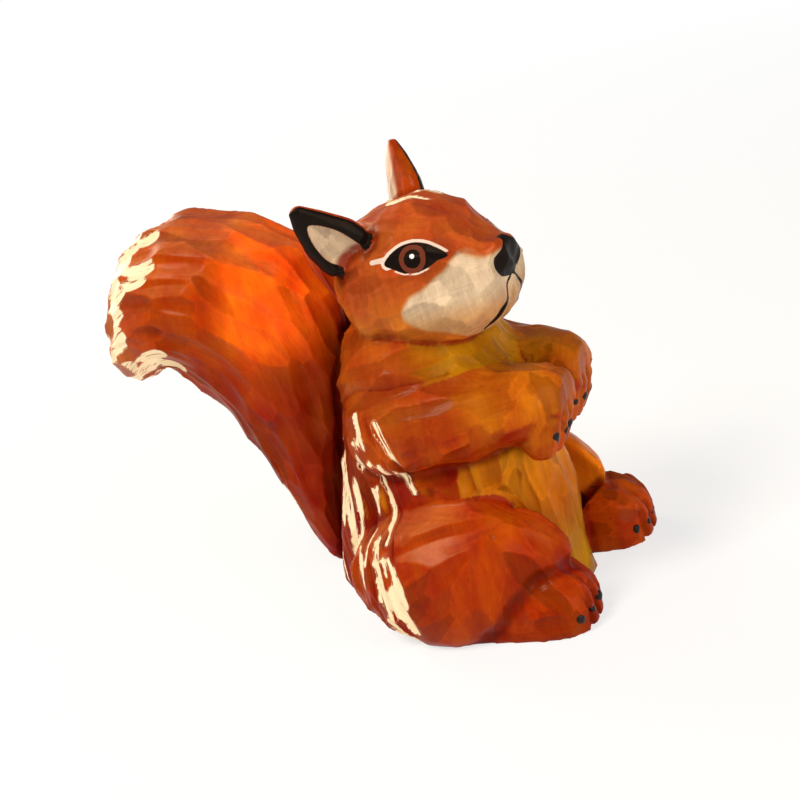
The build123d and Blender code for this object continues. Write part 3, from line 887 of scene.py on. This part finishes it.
def claw_seats(points, outward):
    """Where claws sit on the skin, the way out of it there, and the way each claw points."""
    tree = point_tree(points)
    wanted = []
    for side, tip in FOOT_TIPS.items():
        sign = 1 if side == "left" else -1
        for step in (-1.5, -0.5, 0.5, 1.5):
            wanted.append((tip - 1.2 * step ** 2, sign * FOOT_OUT + step * TOE_SPACING, TOE_HEIGHT))
    for sign in (-1, 1):
        for step in (-1.5, -0.5, 0.5, 1.5):
            wanted.append((PAW_TIP[0], sign * PAW_OUT + step * FINGER_SPACING, PAW_TIP[1]))
    nearest = [tree.find(place)[1] for place in wanted]
    out = outward[nearest]
    aim = CLAW_AIM - out * (out @ CLAW_AIM)[:, None]
    return points[nearest] - CLAW_SINK * out, out, unit(aim)


def claw_nodes(material):
    """A node group that sets a claw on each point of a mesh, aimed by the point's own direction."""
    tree = bpy.data.node_groups.new("claws", "GeometryNodeTree")
    tree.interface.new_socket("Seats", in_out="INPUT", socket_type="NodeSocketGeometry")
    for name in ("Claw Length", "Claw Width", "Claw Thickness"):
        tree.interface.new_socket(name, in_out="INPUT", socket_type="NodeSocketFloat")
    tree.interface.new_socket("Seed", in_out="INPUT", socket_type="NodeSocketInt")
    tree.interface.new_socket("Claws", in_out="OUTPUT", socket_type="NodeSocketGeometry")
    nodes = tree.nodes
    given = nodes.new("NodeGroupInput")
    result = nodes.new("NodeGroupOutput")
    claw = nodes.new("GeometryNodeMeshUVSphere")
    claw.inputs["Segments"].default_value = 16
    claw.inputs["Rings"].default_value = 10
    claw.inputs["Radius"].default_value = 0.5
    place = nodes.new("GeometryNodeInputPosition")
    apart = nodes.new("ShaderNodeSeparateXYZ")
    taper = nodes.new("ShaderNodeMapRange")
    taper.inputs["From Min"].default_value = -0.1
    taper.inputs["From Max"].default_value = 0.5
    taper.inputs["To Min"].default_value = 1.0
    taper.inputs["To Max"].default_value = 0.25
    narrowed = nodes.new("ShaderNodeVectorMath")
    narrowed.operation = "MULTIPLY"
    shares = nodes.new("ShaderNodeCombineXYZ")
    shares.inputs["Z"].default_value = 1.0
    shaped = nodes.new("GeometryNodeSetPosition")
    size = nodes.new("ShaderNodeCombineXYZ")
    sized = nodes.new("GeometryNodeTransform")
    aims = {}
    for name in ("aim", "out"):
        aims[name] = nodes.new("GeometryNodeInputNamedAttribute")
        aims[name].data_type = "FLOAT_VECTOR"
        aims[name].inputs["Name"].default_value = name
    point = nodes.new("FunctionNodeAlignRotationToVector")
    point.axis = "Z"
    roll = nodes.new("FunctionNodeAlignRotationToVector")
    roll.axis = "Y"
    roll.pivot_axis = "Z"
    growth = nodes.new("FunctionNodeRandomValue")
    growth.inputs[2].default_value = 0.88
    growth.inputs[3].default_value = 1.12
    each = nodes.new("GeometryNodeInstanceOnPoints")
    real = nodes.new("GeometryNodeRealizeInstances")
    coat = nodes.new("GeometryNodeSetMaterial")
    coat.inputs["Material"].default_value = material
    for start, end in (
        (place.outputs[0], apart.inputs[0]),
        (apart.outputs["Z"], taper.inputs["Value"]),
        (taper.outputs["Result"], shares.inputs["X"]),
        (taper.outputs["Result"], shares.inputs["Y"]),
        (place.outputs[0], narrowed.inputs[0]),
        (shares.outputs[0], narrowed.inputs[1]),
        (claw.outputs["Mesh"], shaped.inputs["Geometry"]),
        (narrowed.outputs[0], shaped.inputs["Position"]),
        (given.outputs["Claw Width"], size.inputs["X"]),
        (given.outputs["Claw Thickness"], size.inputs["Y"]),
        (given.outputs["Claw Length"], size.inputs["Z"]),
        (shaped.outputs[0], sized.inputs["Geometry"]),
        (size.outputs[0], sized.inputs["Scale"]),
        (aims["aim"].outputs["Attribute"], point.inputs["Vector"]),
        (point.outputs[0], roll.inputs["Rotation"]),
        (aims["out"].outputs["Attribute"], roll.inputs["Vector"]),
        (given.outputs["Seed"], growth.inputs["Seed"]),
        (given.outputs["Seats"], each.inputs["Points"]),
        (sized.outputs[0], each.inputs["Instance"]),
        (roll.outputs[0], each.inputs["Rotation"]),
        (growth.outputs[1], each.inputs["Scale"]),
        (each.outputs[0], real.inputs[0]),
        (real.outputs[0], coat.inputs["Geometry"]),
        (coat.outputs[0], result.inputs[0]),
    ):
        tree.links.new(start, end)
    return tree


def claws(points, outward):
    """All claws as one piece."""
    seats, out, aim = claw_seats(points, outward)
    mesh = bpy.data.meshes.new("claw_seats")
    mesh.from_pydata((seats * MM).tolist(), [], [])
    for name, ways in (("aim", aim), ("out", out)):
        own = mesh.attributes.new(name, "FLOAT_VECTOR", "POINT")
        own.data.foreach_set("vector", ways.astype(np.float32).ravel())
    host = linked("claw_seats", mesh)
    setter = host.modifiers.new("claws", "NODES")
    setter.node_group = claw_nodes(claw_finish())
    values = {
        "Claw Length": CLAW_LENGTH * MM,
        "Claw Width": CLAW_WIDTH * MM,
        "Claw Thickness": CLAW_THICKNESS * MM,
        "Seed": CARVING_SEED,
    }
    for socket in setter.node_group.interface.items_tree:
        if socket.in_out == "INPUT" and socket.name in values:
            setter[socket.identifier] = values[socket.name]
    made = bpy.data.meshes.new_from_object(host.evaluated_get(bpy.context.evaluated_depsgraph_get()))
    made.polygons.foreach_set("use_smooth", [True] * len(made.polygons))
    bpy.data.objects.remove(host)
    piece = linked("claws", made)
    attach(piece, "root")


# Carving the figure: the glued blocks and their seams

skins = {node: block_skin(node) for node in WOOD + DOWELS}
points, faces, edges = glued_skin(skins)
gaps = eased(seam_distances(points, skins), edges, SEAM_EASING)
owner = np.argmin(gaps, axis=1)
face_owner = np.argmin(gaps[faces].sum(1), axis=1)
legs = belongs(owner, "right_foreleg", "left_foreleg")
shoulder = shoulder_share(gaps, facing(eased(points, edges, FACING_EASING), faces))
seam = seam_marks(gaps) * (1 - SHOULDER_SMOOTHNESS * shoulder)

# Rounding over
rounds = np.array([float(ROUNDING[node]) for node in WOOD])[owner]
rounds[legs & (points[:, 0] > PAW_START)] = PAW_ROUNDING
rounds = eased(rounds, edges, ROUNDING_EASING)
rounds += shoulder * (SHOULDER_ROUNDING - rounds)
rounds *= np.clip(points[:, 2] / BASE_EDGE - 0.1, 0, 1)
points = rounded(points, faces, edges, rounds, shoulder)
outward = facing(points, faces)

# Cutting the strokes and the seams
cuts = carved(points, outward, owner)
fineness = 1 - (1 - PAW_STROKE_SHARE) * legs * ramp(points[:, 0], PAW_START, PAW_START + 6)
strokes = cuts.depth * fineness
zone = edge_zones(points, owner)
level = (np.bincount(zone, strokes) / np.maximum(np.bincount(zone), 1))[zone]
level[belongs(owner, "right_foot", "left_foot")] = 0
level = eased(level, edges, LEVEL_ROUNDS)
depth = strokes - LEVEL_SHARE * level + SEAM_DEPTH * seam
depth *= np.clip(points[:, 2] / BASE_EDGE - 0.1, 0, 1)
points = points - depth[:, None] * outward
points = np.clip(points, np.array(cad_box[0]) / MM, np.array(cad_box[1]) / MM)
outward = facing(points, faces)
cavity = ((eased(points, edges, CAVITY_EASING) - points) * outward).sum(1)

# Staining and painting, with painted light and shade
# Ridges between strokes lighter: partly wear on the crests, partly painted highlight
stain = stain_colours(points, outward, owner) * (1 + 0.18 * cuts.ridge[:, None])
black, iris, white, glint, cream = face_paint(points)
rim, lining = ear_paint(points, outward)
on_head = belongs(owner, "head")
on_ears = belongs(owner, "right_ear", "left_ear")
rise = points[:, 2] - HEAD_PIVOT[2]
stain = blended(stain, BUFF, on_head * ramp(cream, -0.6, 0.4))
stain = blended(stain, CREAM, on_head * ramp(cream, -0.2, 0.7) * ramp(rise, 1.0, 7.0))
stain = blended(stain, CREAM, on_ears * ramp(lining, -0.1, 0.1))
# Seams darkened: partly stain in the glue lines, partly painted shade in the recesses between blocks
stain = blended(stain, SEAM_STAIN_AND_SHADE, 0.85 * seam)
stain = blended(stain, RED_BROWN, 0.8 * ramp(cavity, 0.03, 0.16) * ~(on_head & (cream > -1)))
# Painted highlights on the pale edge-cut strokes, eased over the skin
pale = eased(cuts.pale, edges, PAINTED_HIGHLIGHT_EASING)
traits = {"stain": stain, "tone": cuts.tone, "pale": pale, "cut": cuts.place}
paints = {
    "black": paint_share(np.where(on_head, black, np.where(on_ears, rim, -9.0))),
    "iris": paint_share(np.where(on_head, iris, -9.0)),
    "white": paint_share(np.where(on_head, white, -9.0)),
    "glint": paint_share(np.where(on_head, glint, -9.0)),
}

# Making the pieces
plain = wood_finish("stained_wood", False)
face = wood_finish("painted_wood", True)
for number, node in enumerate(WOOD):
    painted = node == "head" or "ear" in node
    own = {**traits, **paints} if painted else traits
    piece = carved_piece(node, points, faces[face_owner == number], outward, own)
    piece.data.materials.append(face if painted else plain)
claws(points, outward)
bare = dowel_finish()
for node in DOWELS:
    frame["nodes"][node].data.materials.clear()
    frame["nodes"][node].data.materials.append(bare)


# Stage, light and camera

def area_light(name, place, target, size, power, colour):
    """A soft square lamp at a place, aimed at a target."""
    lamp = bpy.data.lights.new(name, "AREA")
    lamp.size = size
    lamp.energy = power
    lamp.color = colour
    thing = bpy.data.objects.new(name, lamp)
    bpy.context.scene.collection.objects.link(thing)
    thing.location = place
    thing.rotation_euler = (Vector(target) - Vector(place)).to_track_quat("-Z", "Y").to_euler()


def floor():
    """A wide pale floor that keeps the figure's shadow."""
    shape = bmesh.new()
    bmesh.ops.create_grid(shape, x_segments=1, y_segments=1, size=6.0)
    mesh = bpy.data.meshes.new("floor")
    shape.to_mesh(mesh)
    shape.free()
    thing = linked("floor", mesh)
    finish = Finish("pale_floor")
    finish.set(Base_Color=(0.9, 0.9, 0.9, 1), Roughness=0.9)
    path = finish.node("LightPath").outputs
    seen = finish.maths("MAXIMUM", path["Is Camera Ray"], path["Is Glossy Ray"])
    seen = finish.maths("MAXIMUM", seen, path["Is Transmission Ray"])
    white = finish.node("Emission").outputs[0]
    place = finish.node("TexCoord").outputs["Object"]
    reach = finish.node("VectorMath", {0: place}, operation="LENGTH").outputs["Value"]
    share = finish.maths("MULTIPLY", seen, finish.spread(reach, 0.7, 1.0, 0.12, 0.5))
    mix = finish.node("MixShader", {0: share, 1: finish.surface.outputs[0], 2: white})
    finish.tree.links.new(mix.outputs[0], finish.tree.nodes["Material Output"].inputs["Surface"])
    mesh.materials.append(finish.material)


def camera():
    """The camera at the photograph's angle, rolled as the photograph is."""
    back = Vector((
        math.sin(CAMERA_AZIMUTH) * math.cos(CAMERA_ELEVATION),
        -math.cos(CAMERA_AZIMUTH) * math.cos(CAMERA_ELEVATION),
        math.sin(CAMERA_ELEVATION),
    ))
    level_right = Vector((0, 0, 1)).cross(back).normalized()
    level_up = back.cross(level_right)
    right = math.cos(CAMERA_ROLL) * level_right - math.sin(CAMERA_ROLL) * level_up
    up = math.cos(CAMERA_ROLL) * level_up + math.sin(CAMERA_ROLL) * level_right
    lens = bpy.data.cameras.new("camera")
    lens.lens = CAMERA_LENS
    lens.sensor_width = SENSOR
    lens.clip_start = 0.01
    lens.clip_end = 20.0
    thing = bpy.data.objects.new("camera", lens)
    bpy.context.scene.collection.objects.link(thing)
    place = Vector(CAMERA_TARGET) + CAMERA_DISTANCE * back
    turn = Matrix((right, up, back)).transposed().to_4x4()
    thing.matrix_world = Matrix.Translation(place * MM) @ turn
    bpy.context.scene.camera = thing


def world():
    """A plain soft surround."""
    made = bpy.data.worlds.new("surround")
    bpy.context.scene.world = made
    made.use_nodes = True
    made.node_tree.nodes["Background"].inputs["Color"].default_value = (1.0, 0.98, 0.95, 1)
    path = made.node_tree.nodes.new("ShaderNodeLightPath")
    strength = made.node_tree.nodes.new("ShaderNodeMapRange")
    strength.inputs["To Min"].default_value = 0.24
    strength.inputs["To Max"].default_value = 1.0
    made.node_tree.links.new(path.outputs["Is Camera Ray"], strength.inputs["Value"])
    made.node_tree.links.new(strength.outputs[0], made.node_tree.nodes["Background"].inputs["Strength"])


floor()
world()
area_light("window", (-0.55, 0.34, 0.20), (-0.02, 0, 0.05), 0.40, 3.5, (1.0, 0.86, 0.62))
area_light("key", (-0.28, -0.42, 0.80), (0, 0, 0.05), 0.30, 6.8, (1.0, 0.94, 0.84))
area_light("fill", (0.55, -0.30, 0.25), (0.01, 0, 0.04), 0.5, 2.8, (1.0, 0.93, 0.82))
camera()
bpy.context.scene.view_settings.view_transform = "Standard"
